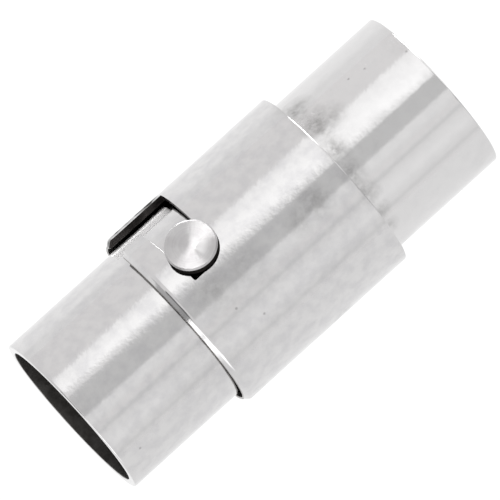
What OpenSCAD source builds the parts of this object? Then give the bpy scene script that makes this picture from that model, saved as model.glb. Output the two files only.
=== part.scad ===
// Magnetic clasp for a round cord, with a push and twist lock.
// A plug tube slides into a sleeve, where two disc magnets draw it home. The plug's pin runs down
// the long leg of an L-shaped slot in the sleeve, and a short twist then seats it behind the tongue.
//
// The clasp lies on its sleeve. X runs along it, from the plug's cord cup to the sleeve's cord cup,
// Z is up, and the origin is at the middle of its length, on the surface that it lies on.
// Places along the clasp are measured from the sleeve's open rim, towards its cord cup. Places round
// it are turns in degrees from straight up, towards +Y.

/* [Sleeve] */
// Outer diameter of the sleeve
sleeve_d = 8.0; // [7.8:0.05:9]
// Chamfer round the sleeve's open rim
rim_chamfer = 0.2; // [0.05:0.05:0.25]
// Broken edge at the sleeve's shoulder
shoulder_break = 0.05; // [0.02:0.01:0.2]
// Outer diameter of the cord cup behind the shoulder
cup_d = 7.05; // [6.8:0.05:7.6]
// Length of the cord cup behind the shoulder
cup_len = 5.05; // [4:0.05:6]

/* [Plug] */
// Outer diameter of the plug tube
plug_d = 7.05; // [6.8:0.05:7.2]
// Length of the plug that stands out of the sleeve
plug_out = 5.2; // [4.2:0.1:7]
// Chamfer that leads the plug's front end into the sleeve
lead_chamfer = 0.2; // [0.05:0.05:0.4]
// Radial gap between the plug and the sleeve's bore
running_gap = 0.2; // [0.05:0.05:0.3]
// Solid metal between each magnet's pocket and what lies behind it
web_t = 0.62; // [0.4:0.02:1.5]

/* [Cord holes] */
// Diameter of both cord holes
cord_hole_d = 6.3; // [5.5:0.1:6.6]
// Depth of both cord holes
cord_hole_depth = 5.0; // [4:0.1:6]

/* [Slot] */
// Width of the slot, the same in both of its legs
slot_w = 1.5; // [1.2:0.05:1.7]
// Width of the tongue between the rim and the slot's short leg
tongue_w = 1.25; // [1:0.05:2.5]
// Rounding of the tongue's free corner
tongue_round = 0.15; // [0.05:0.05:0.4]
// Twist that brings the locked pin in line with the slot's long leg
unlock_turn = 42.7; // [38:0.1:60]
// Turn that the locked pin still has before the slot's blind end
seat_play = 3.2; // [1:0.1:5]
// Rounding of the blind end's far corner
seat_round = 0.7; // [0.2:0.05:0.75]

/* [Locking pin] */
// Turn of the locked pin from straight up
pin_turn = 16.8; // [-30:0.1:30]
// Diameter of the pin's head
head_d = 2.05; // [1.8:0.05:2.3]
// Thickness of the pin's head
head_t = 0.38; // [0.25:0.01:0.5]
// Chamfer round the head's face
head_chamfer = 0.05; // [0.02:0.01:0.1]
// Gap between the head and the sleeve
head_gap = 0.03; // [0.02:0.01:0.1]
// Gap on each side of the pin's shank in the slot
shank_gap = 0.07; // [0.05:0.01:0.12]
// Depth of the shank in the plug
shank_depth = 1.3; // [0.8:0.1:2]

/* [Magnets] */
// Diameter of each disc magnet
magnet_d = 6.0; // [5:0.1:6.3]
// Thickness of each disc magnet
magnet_t = 2.0; // [1.5:0.1:4]
// Gap between the two magnets when the clasp is closed
magnet_gap = 0.1; // [0.05:0.01:0.25]
// Glue line round and under each magnet, and round the pin's shank
glue_line = 0.03; // [0.02:0.01:0.05]

/* [Hidden] */
$fn = 128;

steel = [0.78, 0.78, 0.79];
nickel = [0.7, 0.69, 0.66];

// Radii
sleeve_r = sleeve_d / 2;
plug_r = plug_d / 2;
bore_r = plug_r + running_gap;
cord_hole_r = cord_hole_d / 2;
pocket_r = magnet_d / 2 + glue_line;
shank_r = slot_w / 2 - shank_gap;
seat_r = min(seat_round, slot_w / 2);

// Places along the clasp, from the slot through the plug's end to the sleeve's cord cup
slot_mid = tongue_w + slot_w / 2;
slot_end = tongue_w + slot_w;
plug_hole_floor = cord_hole_depth - plug_out;
plug_pocket_floor = slot_end + web_t;
plug_end = plug_pocket_floor + glue_line + magnet_t;
bore_floor = plug_end + magnet_gap;
sleeve_pocket_floor = bore_floor + magnet_t + glue_line;
sleeve_hole_floor = sleeve_pocket_floor + web_t;
sleeve_end = sleeve_hole_floor + cord_hole_depth;
shoulder = sleeve_end - cup_len;
clasp_mid = (sleeve_end - plug_out) / 2;

// Turns round the clasp
seat_turn = pin_turn - seat_play;
leg_turn = pin_turn + unlock_turn;

// Heights above the clasp's axis
head_bottom = sleeve_r + head_gap;
head_top = head_bottom + head_t;
shank_bottom = plug_r - shank_depth;

// How far the cutting shapes run past a surface
past = 1;

// Puts what is drawn along +Z from the sleeve's rim onto the clasp's axis.
module on_axis() {
    translate([-clasp_mid, 0, sleeve_r])
        rotate([0, 90, 0])
            children();
}

// Turns what is drawn out along +X, so that it points out of the clasp at the given turn.
// What is drawn on the +Y side then lies at the smaller turns.
module at_turn(turn) {
    rotate([0, 0, 180 - turn])
        children();
}

// Straight cut outwards through the sleeve's wall, y wide and z long, from y0 and z0.
module wall_cut(y0, z0, y, z) {
    translate([bore_r - past, y0, z0])
        cube([sleeve_r - bore_r + 2 * past, y, z]);
}

// Round hole outwards through the sleeve's wall, centred at y and z.
module wall_hole(y, z, d) {
    translate([bore_r - past, y, z])
        rotate([0, 90, 0])
            cylinder(d = d, h = sleeve_r - bore_r + 2 * past);
}

// What a round of radius r leaves of a square corner, whose lowest point is at y0 and z0.
// The round's centre is at y and z.
module corner_piece(y0, z0, y, z, r) {
    difference() {
        wall_cut(y0, z0, r, r);
        wall_hole(y, z, 2 * r);
    }
}

// The slot's long leg, in from the rim, with the tongue's rounded corner beside it.
module long_leg_cut() {
    corner_y = slot_w / 2;
    corner_z = tongue_w - tongue_round;
    wall_cut(-slot_w / 2, -past, slot_w, slot_end + past);
    corner_piece(corner_y, corner_z, corner_y + tongue_round, corner_z, tongue_round);
}

// The slot's blind end: square on the tongue's side, which takes the pull, and round on the other.
module seat_cut() {
    corner_y = slot_w / 2 - seat_r;
    corner_z = slot_end - seat_r;
    difference() {
        wall_cut(-slot_w / 2, tongue_w, slot_w, slot_w);
        corner_piece(corner_y, corner_z, corner_y, corner_z, seat_r);
    }
}

// The L-shaped slot: its long leg, and a short leg round to the pin's seat.
module slot_cut() {
    at_turn(leg_turn)
        long_leg_cut();
    rotate([0, 0, 180 - leg_turn])
        rotate_extrude(angle = leg_turn - seat_turn)
            translate([bore_r - past, tongue_w])
                square([sleeve_r - bore_r + 2 * past, slot_w]);
    at_turn(seat_turn)
        seat_cut();
}

// The sleeve with its slot, its stepped bore for the plug and a magnet, and its cord cup.
module sleeve_barrel() {
    color(steel)
        on_axis()
            difference() {
                rotate_extrude()
                    polygon([
                        [bore_r, 0],
                        [sleeve_r - rim_chamfer, 0],
                        [sleeve_r, rim_chamfer],
                        [sleeve_r, shoulder - shoulder_break],
                        [sleeve_r - shoulder_break, shoulder],
                        [cup_d / 2, shoulder],
                        [cup_d / 2, sleeve_end],
                        [cord_hole_r, sleeve_end],
                        [cord_hole_r, sleeve_hole_floor],
                        [0, sleeve_hole_floor],
                        [0, sleeve_pocket_floor],
                        [pocket_r, sleeve_pocket_floor],
                        [pocket_r, bore_floor],
                        [bore_r, bore_floor]
                    ]);
                slot_cut();
            }
}

// The plug tube: cord cup, solid web with a hole for the pin, and a pocket for a magnet.
module plug_barrel() {
    color(steel)
        on_axis()
            difference() {
                rotate_extrude()
                    polygon([
                        [0, plug_hole_floor],
                        [cord_hole_r, plug_hole_floor],
                        [cord_hole_r, -plug_out],
                        [plug_r, -plug_out],
                        [plug_r, plug_end - lead_chamfer],
                        [plug_r - lead_chamfer, plug_end],
                        [pocket_r, plug_end],
                        [pocket_r, plug_pocket_floor],
                        [0, plug_pocket_floor]
                    ]);
                at_turn(pin_turn)
                    translate([shank_bottom - glue_line, 0, slot_mid])
                        rotate([0, 90, 0])
                            cylinder(r = shank_r + glue_line, h = shank_depth + past);
            }
}

// The pin: a shank pressed into the plug, and a flat head that lies over the slot's edges.
module locking_pin() {
    color(steel)
        on_axis()
            at_turn(pin_turn)
                translate([0, 0, slot_mid])
                    rotate([0, 90, 0])
                        rotate_extrude()
                            polygon([
                                [0, shank_bottom],
                                [shank_r, shank_bottom],
                                [shank_r, head_bottom],
                                [head_d / 2, head_bottom],
                                [head_d / 2, head_top - head_chamfer],
                                [head_d / 2 - head_chamfer, head_top],
                                [0, head_top]
                            ]);
}

// A disc magnet, from its face at the given place along the clasp.
module magnet(face) {
    color(nickel)
        on_axis()
            translate([0, 0, face])
                cylinder(d = magnet_d, h = magnet_t);
}

// The sleeve's magnet, flush with the floor of the sleeve's bore.
module sleeve_magnet() {
    magnet(bore_floor);
}

// The plug's magnet, flush with the plug's front end.
module plug_magnet() {
    magnet(plug_end - magnet_t);
}

sleeve_barrel();
sleeve_magnet();
plug_barrel();
plug_magnet();
locking_pin();
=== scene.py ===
"""Magnetic cord clasp with a push and twist lock, dressed for its picture.

The clasp lies on its sleeve along X, with Z up. Places along it are measured from the sleeve's open
rim, towards its cord cup, and turns round it from straight up, towards +Y. Sizes are in millimetres
and turns in degrees, and both are changed to metres and radians where a mesh is made.
"""
import logging
import math
from collections.abc import Callable
from dataclasses import dataclass, field
from enum import Enum

import bmesh
import bpy
import numpy as np
from bpy.types import Material, Mesh, NodeSocket, NodeTree, Object
from mathutils import Matrix, Vector
from mathutils.geometry import delaunay_2d_cdt


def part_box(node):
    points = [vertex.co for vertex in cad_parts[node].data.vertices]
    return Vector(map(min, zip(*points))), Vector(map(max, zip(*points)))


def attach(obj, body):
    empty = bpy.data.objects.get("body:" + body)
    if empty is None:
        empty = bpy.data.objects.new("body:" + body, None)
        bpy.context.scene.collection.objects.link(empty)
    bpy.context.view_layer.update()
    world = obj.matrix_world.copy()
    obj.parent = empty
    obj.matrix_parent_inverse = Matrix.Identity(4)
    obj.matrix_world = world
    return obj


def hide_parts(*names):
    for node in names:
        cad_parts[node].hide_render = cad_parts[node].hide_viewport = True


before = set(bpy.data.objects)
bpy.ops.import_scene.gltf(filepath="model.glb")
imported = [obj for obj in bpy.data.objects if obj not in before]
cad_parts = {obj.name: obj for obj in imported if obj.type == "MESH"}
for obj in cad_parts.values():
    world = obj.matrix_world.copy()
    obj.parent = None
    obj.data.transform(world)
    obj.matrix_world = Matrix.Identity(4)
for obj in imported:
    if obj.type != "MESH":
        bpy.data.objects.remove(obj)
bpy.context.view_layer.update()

log = logging.getLogger("clasp")

MM = 0.001
NORMAL_NAME = "turned_normal"
# Points nearer than this are one, in the unit of the mesh or the flat drawing that they are in.
CLOSE = 1e-7
# Radii nearer than this, in millimetres, are equal.
LEVEL_STEP = 1e-6


def solid_size(node: str, axis: int) -> float:
    """Size of a solid of the clasp along one axis.

    Args:
        node: The solid's name.
        axis: 0, 1 or 2 for X, Y or Z.

    Returns:
        The size in millimetres.
    """
    low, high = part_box(node)
    return round((high[axis] - low[axis]) / MM, 2)


def solid_start(node: str) -> float:
    """Lowest X of a solid of the clasp, in millimetres."""
    return round(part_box(node)[0].x / MM, 3)


@dataclass(frozen=True)
class ClaspSizes:
    """Sizes that the clasp's parts share, as its solids have them, and what rounds their edges."""

    rim_x: float = solid_start("sleeve_barrel")
    sleeve_r: float = solid_size("sleeve_barrel", 1) / 2
    sleeve_end: float = solid_size("sleeve_barrel", 0)
    plug_r: float = solid_size("plug_barrel", 1) / 2
    plug_out: float = solid_start("sleeve_barrel") - solid_start("plug_barrel")
    magnet_t: float = solid_size("plug_magnet", 0)
    cup_len: float = 5.05
    rim_chamfer: float = 0.2
    lead_chamfer: float = 0.2
    running_gap: float = 0.2
    cord_hole_r: float = 3.15
    cord_hole_depth: float = 5.0
    pocket_r: float = 3.03
    web_t: float = 0.62
    glue_line: float = 0.03
    magnet_gap: float = 0.1
    slot_w: float = 1.5
    tongue_w: float = 1.25
    tongue_round: float = 0.15
    seat_turn: float = 13.6
    seat_round: float = 0.7
    leg_turn: float = 59.5
    pin_turn: float = 16.8
    tongue_slant: float = 0.17
    edge: float = 0.014
    cup_round: float = 0.07
    hole_round: float = 0.04
    floor_round: float = 0.1
    pocket_round: float = 0.02

    @property
    def bore_r(self) -> float:
        """Radius of the sleeve's bore for the plug."""
        return self.plug_r + self.running_gap

    @property
    def slot_mid(self) -> float:
        """Place of the middle of the slot's short leg."""
        return self.tongue_w + self.slot_w / 2

    @property
    def slot_end(self) -> float:
        """Place of the slot's far wall."""
        return self.tongue_w + self.slot_w

    @property
    def plug_pocket_floor(self) -> float:
        """Place of the floor of the plug's magnet pocket."""
        return self.slot_end + self.web_t

    @property
    def plug_end(self) -> float:
        """Place of the plug's front end."""
        return self.plug_pocket_floor + self.glue_line + self.magnet_t

    @property
    def bore_floor(self) -> float:
        """Place of the floor of the sleeve's bore."""
        return self.plug_end + self.magnet_gap

    @property
    def sleeve_pocket_floor(self) -> float:
        """Place of the floor of the sleeve's magnet pocket."""
        return self.bore_floor + self.magnet_t + self.glue_line

    @property
    def shoulder(self) -> float:
        """Place of the sleeve's shoulder."""
        return self.sleeve_end - self.cup_len


class Zone(Enum):
    """The ways in which a surface of a steel part was made."""

    POLISHED = 0
    CUT = 1
    BORED = 2
    DEBURRED = 3


@dataclass(frozen=True)
class Corner:
    """A corner of a turned outline: its place along the axis, its radius and its rounding."""

    along: float
    radius: float
    rounding: float = 0.0


@dataclass(frozen=True)
class OutlinePoint:
    """A point of a turned outline, with the direction that its surface faces."""

    along: float
    radius: float
    faces_along: float
    faces_out: float


def rounded_outline(corners: list[Corner], steps: int = 4) -> list[OutlinePoint]:
    """Turned outline through corners, with an arc at each corner between the first and the last.

    Args:
        corners: The corners in order, with the metal to the right of the way between them, where
            places along the axis run to the right and radii run up.
        steps: Number of lines in each arc.

    Returns:
        The outline's points in order.
    """
    at = [Vector((c.along, c.radius)) for c in corners]
    ways = [(b - a).normalized() for a, b in zip(at, at[1:])]
    faces = [Vector((-way.y, way.x)) for way in ways]
    points = [(at[0], faces[0])]
    for corner, here, way_in, way_on, face_in in zip(corners[1:-1], at[1:-1], ways, ways[1:], faces):
        turn = way_in.angle_signed(way_on)
        setback = corner.rounding * math.tan(abs(turn) / 2)
        side = 1 if turn > 0 else -1
        centre = here - way_in * setback - face_in * corner.rounding * side
        for step in range(steps + 1):
            face = Matrix.Rotation(-turn * (step / steps), 2) @ face_in
            points.append((centre + face * corner.rounding * side, face))
    points.append((at[-1], faces[-1]))
    return [OutlinePoint(p.x, p.y, n.x, n.y) for p, n in points]


class Nodes:
    """A node tree that is being filled."""

    def __init__(self, tree: NodeTree) -> None:
        """Takes the tree."""
        self.tree = tree

    def add(
        self, kind: str, inputs: dict | tuple = (), out: int | str = 0, **settings: object
    ) -> NodeSocket | None:
        """Adds a node with its settings, values and links.

        Args:
            kind: The node's type name.
            inputs: What the inputs get, in order or by name or number: an output or a value.
            out: Name or number of the output that is wanted.
            **settings: Attributes of the node by name.

        Returns:
            The wanted output, or None where the node has none.
        """
        node = self.tree.nodes.new(kind)
        for name, value in settings.items():
            setattr(node, name, value)
        given = inputs.items() if isinstance(inputs, dict) else enumerate(inputs)
        for key, value in given:
            if isinstance(value, NodeSocket):
                self.tree.links.new(value, node.inputs[key])
            else:
                node.inputs[key].default_value = value
        return node.outputs[out] if node.outputs else None


class Coat(Nodes):
    """A material that is being made, with the coordinates that its patterns read."""

    def __init__(self, name: str, coordinates: str = "Object") -> None:
        """Starts the material with nothing but its coordinates.

        Args:
            name: The material's name.
            coordinates: Which texture coordinates its patterns read.
        """
        self.material = bpy.data.materials.new(name)
        self.material.use_nodes = True
        super().__init__(self.material.node_tree)
        self.tree.nodes.clear()
        self.place = self.add("ShaderNodeTexCoord", out=coordinates)

    def finish(self, surface: NodeSocket) -> Material:
        """Gives the material its surface, and returns it."""
        self.add("ShaderNodeOutputMaterial", {"Surface": surface})
        return self.material


class TurningTree:
    """Geometry Nodes that turn an outline about Z, as a lathe gives a bar its shape.

    The outline is a line of vertices in the XZ plane, numbered in order, each with the direction
    that its surface faces.
    """

    def __init__(self) -> None:
        """Builds the tree with its named inputs."""
        self.tree = bpy.data.node_groups.new("Turn an outline", "GeometryNodeTree")
        self.tree.is_modifier = True
        for name, kind in {
            "Outline": "Geometry", "Steps round": "Int", "Weld distance": "Float", "Material": "Material",
        }.items():
            self.tree.interface.new_socket(name, in_out="INPUT", socket_type="NodeSocket" + kind)
        self.tree.interface.new_socket("Turned part", in_out="OUTPUT", socket_type="NodeSocketGeometry")
        self._wire()

    def _wire(self) -> None:
        """Adds the tree's nodes, which roll up a flat grid that has a row for each step round."""
        nodes = Nodes(self.tree)
        given = nodes.add("NodeGroupInput").node.outputs
        outline, steps = given["Outline"], given["Steps round"]
        count = nodes.add("GeometryNodeAttributeDomainSize", {"Geometry": outline}, "Point Count")
        rows = nodes.add("ShaderNodeMath", (steps, 1.0), operation="ADD")
        part = nodes.add("GeometryNodeMeshGrid", {"Vertices X": count, "Vertices Y": rows}, "Mesh")
        index = nodes.add("GeometryNodeInputIndex")
        share = nodes.add("ShaderNodeMath", (index, rows), operation="DIVIDE")
        point = nodes.add("ShaderNodeMath", (share,), operation="FLOOR")
        row = nodes.add("ShaderNodeMath", (index, rows), operation="FLOORED_MODULO")
        round_share = nodes.add("ShaderNodeMath", (row, steps), operation="DIVIDE")
        turn = nodes.add("ShaderNodeMath", (round_share, math.tau), operation="MULTIPLY")
        vectors = {"data_type": "FLOAT_VECTOR"}
        turned = []
        for value in (
            nodes.add("GeometryNodeInputPosition"),
            nodes.add("GeometryNodeInputNamedAttribute", {"Name": NORMAL_NAME}, "Attribute", **vectors),
        ):
            asked = {"Geometry": outline, "Value": value, "Index": point}
            sample = nodes.add("GeometryNodeSampleIndex", asked, "Value", **vectors)
            asked = {"Vector": sample, "Angle": turn}
            turned.append(nodes.add("ShaderNodeVectorRotate", asked, rotation_type="Z_AXIS"))
        for kind, inputs, settings in (
            ("GeometryNodeSetPosition", {"Position": turned[0]}, {}),
            ("GeometryNodeStoreNamedAttribute", {"Name": NORMAL_NAME, "Value": turned[1]}, vectors),
            ("GeometryNodeMergeByDistance", {"Distance": given["Weld distance"]}, {}),
            ("GeometryNodeRealizeInstances", {}, {}),
            ("GeometryNodeSetMaterial", {"Material": given["Material"]}, {}),
        ):
            part = nodes.add(kind, {"Geometry": part, **inputs}, **settings)
        nodes.add("NodeGroupOutput", {"Turned part": part})

    def turn(self, outline: list[OutlinePoint], steps: int, material: Material) -> "Shell":
        """Turns an outline into a shell about Z.

        Args:
            outline: The outline's points, in millimetres.
            steps: Number of faces round the axis.
            material: The material that the tree sets.

        Returns:
            The turned shell, in metres.
        """
        mesh = bpy.data.meshes.new("outline")
        edges = [(i, i + 1) for i in range(len(outline) - 1)]
        mesh.from_pydata([(p.radius * MM, 0, p.along * MM) for p in outline], edges, [])
        faces = mesh.attributes.new(NORMAL_NAME, "FLOAT_VECTOR", "POINT")
        faces.data.foreach_set("vector", [v for p in outline for v in (p.faces_out, 0, p.faces_along)])
        work = bpy.data.objects.new("outline", mesh)
        bpy.context.scene.collection.objects.link(work)
        modifier = work.modifiers.new("Turn", "NODES")
        modifier.node_group = self.tree
        values = {"Steps round": steps, "Weld distance": CLOSE, "Material": material}
        for item in self.tree.interface.items_tree:
            if item.in_out == "INPUT" and item.name in values:
                modifier[item.identifier] = values[item.name]
        bpy.context.view_layer.update()
        evaluated = work.evaluated_get(bpy.context.evaluated_depsgraph_get())
        turned = bpy.data.meshes.new_from_object(evaluated)
        work.modifiers.remove(modifier)
        bpy.data.objects.remove(work)
        shell = Shell.from_mesh(turned)
        bpy.data.meshes.remove(turned)
        return shell


@dataclass
class Shell:
    """A surface being built: points, the direction each one faces, faces and their zones."""

    points: list[Vector] = field(default_factory=list)
    normals: list[Vector] = field(default_factory=list)
    faces: list[list[int]] = field(default_factory=list)
    zones: list[Zone] = field(default_factory=list)

    @classmethod
    def from_mesh(cls, mesh: Mesh) -> "Shell":
        """Shell of a mesh.

        Args:
            mesh: The mesh, with the direction that each point faces stored on it.

        Returns:
            The shell, all of it polished.
        """
        return cls(
            [v.co.copy() for v in mesh.vertices],
            [Vector(d.vector) for d in mesh.attributes[NORMAL_NAME].data],
            [list(f.vertices) for f in mesh.polygons],
            [Zone.POLISHED] * len(mesh.polygons),
        )

    def place(self, matrix: Matrix) -> "Shell":
        """Moves the shell.

        Args:
            matrix: The move, which keeps the shell's size.

        Returns:
            The shell itself.
        """
        turn = matrix.to_3x3()
        self.points = [matrix @ p for p in self.points]
        self.normals = [turn @ n for n in self.normals]
        return self

    def zone_by(self, rule: Callable[[Vector], Zone]) -> "Shell":
        """Gives each face the zone that a rule gives its middle.

        Args:
            rule: The rule, which takes a place in metres.

        Returns:
            The shell itself.
        """
        for number, face in enumerate(self.faces):
            self.zones[number] = rule(sum((self.points[i] for i in face), Vector()) / len(face))
        return self

    def add(self, other: "Shell") -> None:
        """Takes in another shell.

        Args:
            other: The other shell, which stays as it is.
        """
        start = len(self.points)
        self.points += other.points
        self.normals += other.normals
        self.faces += [[i + start for i in face] for face in other.faces]
        self.zones += other.zones

    def to_object(self, name: str, materials: dict[Zone, Material]) -> Object:
        """Welds the shell into one closed mesh whose faces point outwards.

        Args:
            name: The object's name.
            materials: The material of each zone.

        Returns:
            The object, in the scene.
        """
        mesh = bpy.data.meshes.new(name)
        mesh.from_pydata(self.points, [], self.faces)
        facing = mesh.attributes.new(NORMAL_NAME, "FLOAT_VECTOR", "POINT")
        facing.data.foreach_set("vector", [v for n in self.normals for v in n])
        for material in materials.values():
            mesh.materials.append(material)
        order = list(materials)
        mesh.polygons.foreach_set("material_index", [order.index(z) for z in self.zones])
        work = bmesh.new()
        work.from_mesh(mesh)
        bmesh.ops.remove_doubles(work, verts=work.verts, dist=CLOSE)
        bmesh.ops.dissolve_degenerate(work, edges=work.edges, dist=CLOSE / 10)
        bmesh.ops.recalc_face_normals(work, faces=work.faces)
        loose = sum(len(e.link_faces) != 2 for e in work.edges)
        if loose:
            log.warning("%s: %d edges aren't closed", name, loose)
        work.to_mesh(mesh)
        work.free()
        mesh.shade_smooth()
        facing = mesh.attributes[NORMAL_NAME]
        mesh.normals_split_custom_set_from_vertices([Vector(d.vector).normalized() for d in facing.data])
        mesh.attributes.remove(mesh.attributes[NORMAL_NAME])
        made = bpy.data.objects.new(name, mesh)
        bpy.context.scene.collection.objects.link(made)
        return made


def linear(code: str) -> tuple[float, float, float, float]:
    """Linear colour of an sRGB hex code.

    Args:
        code: Six hex digits.

    Returns:
        Red, green, blue and an alpha of 1.
    """
    parts = [int(code[i:i + 2], 16) / 255 for i in (0, 2, 4)]
    made = [p / 12.92 if p <= 0.04045 else ((p + 0.055) / 1.055) ** 2.4 for p in parts]
    return (*made, 1.0)


def per(size: float) -> float:
    """Texture scale at which a pattern on Object coordinates repeats about every size millimetres."""
    return 1 / (size * MM)


@dataclass(frozen=True)
class StainAndPaintedShade:
    """A fuzzy darker patch on polished steel, painted shade in some places and a tarnished spot in
    others: its middle, reach and strength.
    """

    along: float
    turn: float
    radius: float
    reach: float
    strength: float

    def middle(self, sizes: ClaspSizes) -> Vector:
        """The patch's middle in metres."""
        out = way_out(math.radians(self.turn)) * self.radius
        return (Vector((sizes.rim_x + self.along, 0, sizes.sleeve_r)) + out) * MM


@dataclass(frozen=True)
class Rubbed:
    """A patch that sliding has worn matt, with a painted highlight across part of it.

    Attributes:
        along: Its places along the clasp.
        turn: Its turns.
        painted_highlight: The turns across which a painted highlight makes it brighter.
        fade_along: Width over which it fades at its ends.
        fade_turn: Turn over which it fades at its sides.
    """

    along: tuple[float, float]
    turn: tuple[float, float]
    painted_highlight: tuple[float, float]
    fade_along: float = 0.06
    fade_turn: float = 5.0


@dataclass(frozen=True)
class PolishedSteel:
    """Stainless steel, turned and then tumble polished.

    Attributes:
        name: The material's name.
        sizes: The clasp's sizes, for the places of the darker patches.
        clean, dull, bright: Colours of clean steel, of its thin film and of a brighter stretch.
        smudge_and_painted_shade, pit: Colours of the dirty and painted shade patches, and of the pits.
        matt, painted_highlight: Colours of the worn matt patch, and of the painted highlight on its
            brighter side.
        tint, dull_tint: Tints at a glancing angle, of clean steel and of the darker patches of tarnished
            steel and painted shade.
        roughness: Least and greatest roughness.
        stains_and_painted_shade: The darker patches, of tarnished steel and of painted shade.
        rubbed_and_painted_highlight: The worn matt patch with its painted highlight.
        bright_from: Place along the clasp from which the steel is brighter.
    """

    name: str
    sizes: ClaspSizes
    clean: str = "D1D0D0"
    dull: str = "C8C7C8"
    bright: str = "D6D5D5"
    smudge_and_painted_shade: str = "8E8D8C"
    pit: str = "5E5C5B"
    matt: str = "B4B3B3"
    painted_highlight: str = "F2F1F1"
    tint: str = "FAFAFA"
    dull_tint: str = "4A4948"
    roughness: tuple[float, float] = (0.06, 0.11)
    stains_and_painted_shade: tuple[StainAndPaintedShade, ...] = ()
    rubbed_and_painted_highlight: Rubbed | None = None
    bright_from: float | None = None

    def build(self) -> Material:
        """Makes the material.

        Tumbling leaves a soft mirror: it shows the lights as bands with blurred edges, a faint
        mottle under a thin film, small pits, a dirty patch here and there, and patches of painted shade.

        Returns:
            The material.
        """
        coat = Coat(self.name)
        # Size in millimetres, detail, roughness and warp of each pattern. Real scuffs are too fine to
        # show, so their grain is as coarse as it needs to be.
        mottle, broad, grain, smear, waves = [
            coat.add("ShaderNodeTexNoise", {
                "Vector": coat.place, "Scale": per(size), "Detail": detail, "Roughness": roughness,
                "Distortion": warp,
            })
            for size, detail, roughness, warp in (
                (0.45, 3.0, 0.5, 0.0), (2.6, 2.0, 0.5, 0.4), (0.17, 4.0, 0.5, 0.0),
                (0.32, 6.0, 0.62, 0.0), (1.3, 1.0, 0.5, 0.0),
            )
        ]
        # The stretch of a pattern over which each share changes, and its values at both ends
        film, smudges_and_painted_shade, broken, rough = [
            coat.add("ShaderNodeMapRange", steps)
            for steps in (
                (mottle, 0.38, 0.66, 0.0, 1.0), (broad, 0.58, 0.74, 0.0, 0.16),
                (smear, 0.36, 0.66, 0.3, 1.0), (mottle, 0.3, 0.7, *self.roughness),
            )
        ]
        # Patches of painted shade beside the shoulder and the slot, and tarnished spots, darken the
        # colour, the glancing tint and the shine
        for dark_patch in self.stains_and_painted_shade:
            gap = coat.add(
                "ShaderNodeVectorMath", (coat.place, dark_patch.middle(self.sizes)), "Value",
                operation="DISTANCE",
            )
            patch = coat.add("ShaderNodeMapRange", (gap, 0.0, dark_patch.reach * MM, dark_patch.strength, 0.0))
            smudges_and_painted_shade = coat.add("ShaderNodeMath", (smudges_and_painted_shade, patch), operation="MAXIMUM")
        tarnish_and_painted_shade = coat.add("ShaderNodeMath", (smudges_and_painted_shade, broken), operation="MULTIPLY", use_clamp=True)
        pits = self._pits(coat)
        layers = [(film, self.dull), (tarnish_and_painted_shade, self.smudge_and_painted_shade), (pits, self.pit)]
        if self.bright_from is not None:
            along = coat.add("ShaderNodeSeparateXYZ", (coat.place,))
            change = (self.sizes.rim_x + self.bright_from) * MM
            behind = coat.add("ShaderNodeMapRange", (along, change - 0.05 * MM, change, 0.0, 0.7))
            layers.insert(1, (behind, self.bright))
        colour = linear(self.clean)
        for share, over in layers:
            mixed = {0: share, 6: colour, 7: linear(over)}
            colour = coat.add("ShaderNodeMix", mixed, 2, data_type="RGBA")
        # The tint at a glancing angle is darker on tarnished spots and on painted shade
        glance = coat.add(
            "ShaderNodeMix", {0: tarnish_and_painted_shade, 6: linear(self.tint), 7: linear(self.dull_tint)}, 2,
            data_type="RGBA",
        )
        # Slow waves left by polishing, a grain of scuffs, and the pits
        relief: dict[str, NodeSocket] = {}
        for height, depth, sunk in ((waves, 0.0013, False), (grain, 0.002, False), (pits, 0.002, True)):
            cut = {"Strength": 1.0, "Distance": depth * MM, "Height": height, **relief}
            relief = {"Normal": coat.add("ShaderNodeBump", cut, invert=sunk)}
        surface = coat.add("ShaderNodeBsdfPrincipled", {
            "Base Color": colour, "Metallic": 1.0, "Specular Tint": glance,
            "Roughness": coat.add("ShaderNodeMath", (tarnish_and_painted_shade, 0.16, rough), operation="MULTIPLY_ADD"),
            **relief,
        })
        return coat.finish(self._rub(coat, surface, self.rubbed_and_painted_highlight) if self.rubbed_and_painted_highlight else surface)

    def _rub(self, coat: Coat, surface: NodeSocket, patch: Rubbed) -> NodeSocket:
        """Lays a matt patch, with a painted highlight, over the polished surface.

        Args:
            coat: The material being made.
            surface: The polished surface.
            patch: The patch.

        Returns:
            The surface with the patch, which fades at its borders.
        """
        parts = coat.add("ShaderNodeSeparateXYZ", (coat.place,)).node.outputs
        height = coat.add(
            "ShaderNodeMath", (parts[2], self.sizes.sleeve_r * MM), operation="SUBTRACT"
        )
        turn = coat.add("ShaderNodeMath", (parts[1], height), operation="ARCTAN2")
        places = [(self.sizes.rim_x + a) * MM for a in patch.along]
        turns, bright = [[math.radians(t) for t in pair] for pair in (patch.turn, patch.painted_highlight)]
        share: NodeSocket | float = 1.0
        for value, (low, high), fade in (
            (parts[0], places, patch.fade_along * MM), (turn, turns, math.radians(patch.fade_turn)),
        ):
            for start, stop in ((low - fade, low), (high + fade, high)):
                inside = coat.add(
                    "ShaderNodeMapRange", (value, start, stop, 0.0, 1.0),
                    interpolation_type="SMOOTHSTEP",
                )
                share = coat.add("ShaderNodeMath", (share, inside), operation="MULTIPLY")
        # Painted highlight: the matt patch's colour gets lighter across these turns
        brighter = coat.add("ShaderNodeMapRange", (turn, *bright, 0.0, 1.0))
        mixed = {0: brighter, 6: linear(self.matt), 7: linear(self.painted_highlight)}
        colour = coat.add("ShaderNodeMix", mixed, 2, data_type="RGBA")
        matt = coat.add("ShaderNodeBsdfDiffuse", {"Color": colour, "Roughness": 0.2})
        return coat.add("ShaderNodeMixShader", (share, surface, matt))

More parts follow.
